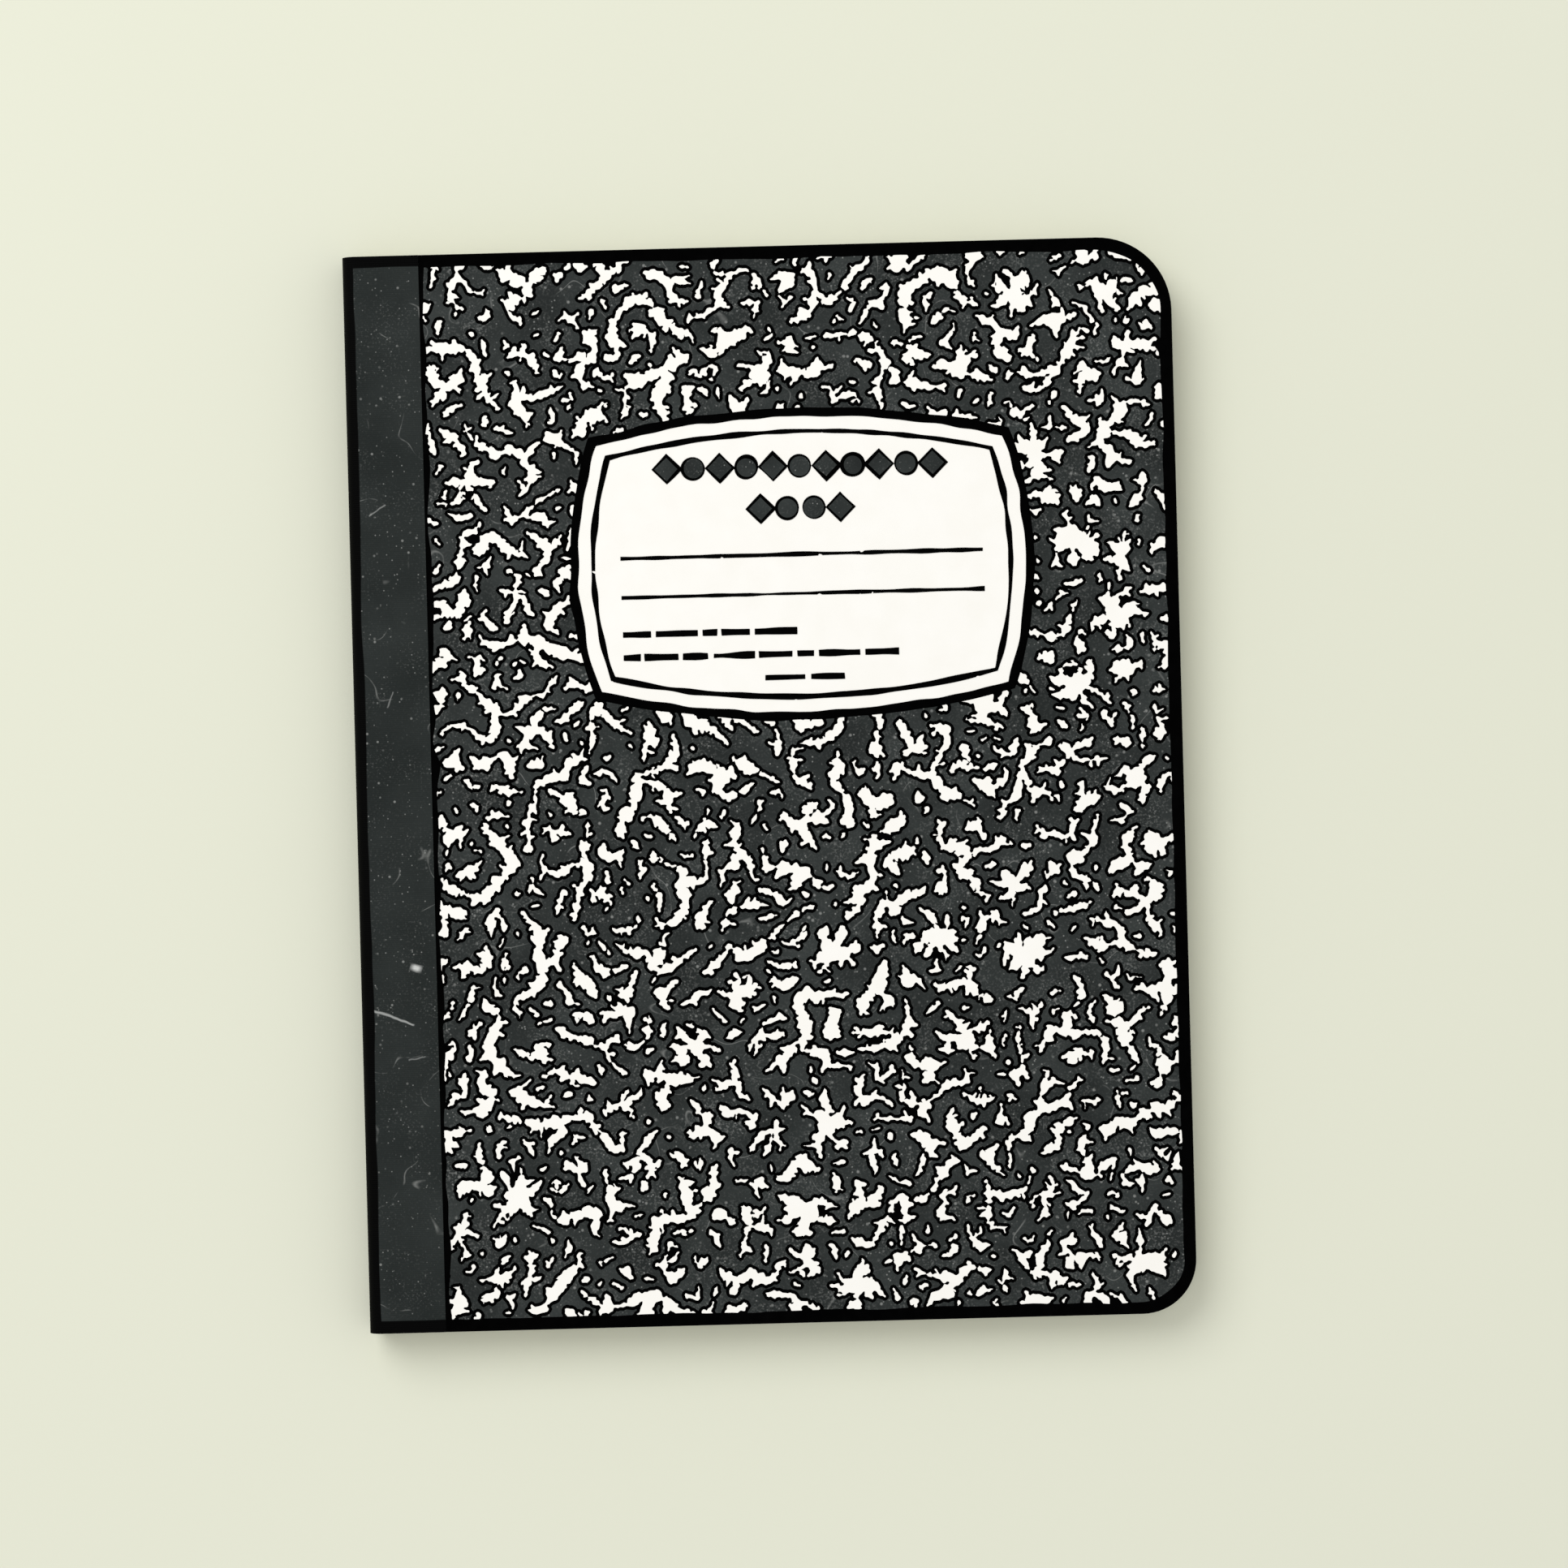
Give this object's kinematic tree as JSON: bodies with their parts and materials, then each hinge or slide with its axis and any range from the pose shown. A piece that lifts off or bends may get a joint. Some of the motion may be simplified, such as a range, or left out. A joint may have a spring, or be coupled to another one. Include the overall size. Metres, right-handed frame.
{
  "type": "composition notebook",
  "caption": "Closed composition notebook: a folded and sewn block of pages between two stiff marbled covers, with a cloth tape round the spine and a name label on the front cover.",
  "frame": {"origin": "under the middle of the closed book, on the surface that its back cover lies on", "axes": "+X from the spine to the fore-edge, +Y from the tail to the head, +Z from the back cover to the front cover"},
  "size_m": [0.19, 0.247, 0.0105],
  "materials": {
    "paper": "uncoated paper, matt",
    "board": "white lined board, matt",
    "marbled_ink": "dark printed paper, satin",
    "tape_cloth": "fine book cloth, matt",
    "thread": "cotton thread, matt",
    "label_paper": "smooth paper, matt",
    "label_ink": "black print, matt",
    "ornament_ink": "dark grey print, matt"
  },
  "bodies": {
    "text_block": {"page_block": "paper", "sewing_thread": "thread", "spine_tape": "tape_cloth"},
    "front_cover": {"front_cover": "board", "front_ink": "marbled_ink", "label": "label_paper", "label_print": "label_ink", "label_ornament": "ornament_ink"},
    "back_cover": {"back_cover": "board", "back_ink": "marbled_ink"}
  },
  "joints": [
    {"name": "front_cover_hinge", "type": "hinge", "parent": "text_block", "child": "front_cover", "pos_m": [-0.092, 0, 0.0105], "axis": [0, -1, 0], "range_deg": [0, 180], "deforming": ["spine_tape"]},
    {"name": "back_cover_hinge", "type": "hinge", "parent": "text_block", "child": "back_cover", "pos_m": [-0.092, 0, 0], "axis": [0, 1, 0], "range_deg": [0, 180], "deforming": ["spine_tape"]}
  ]
}
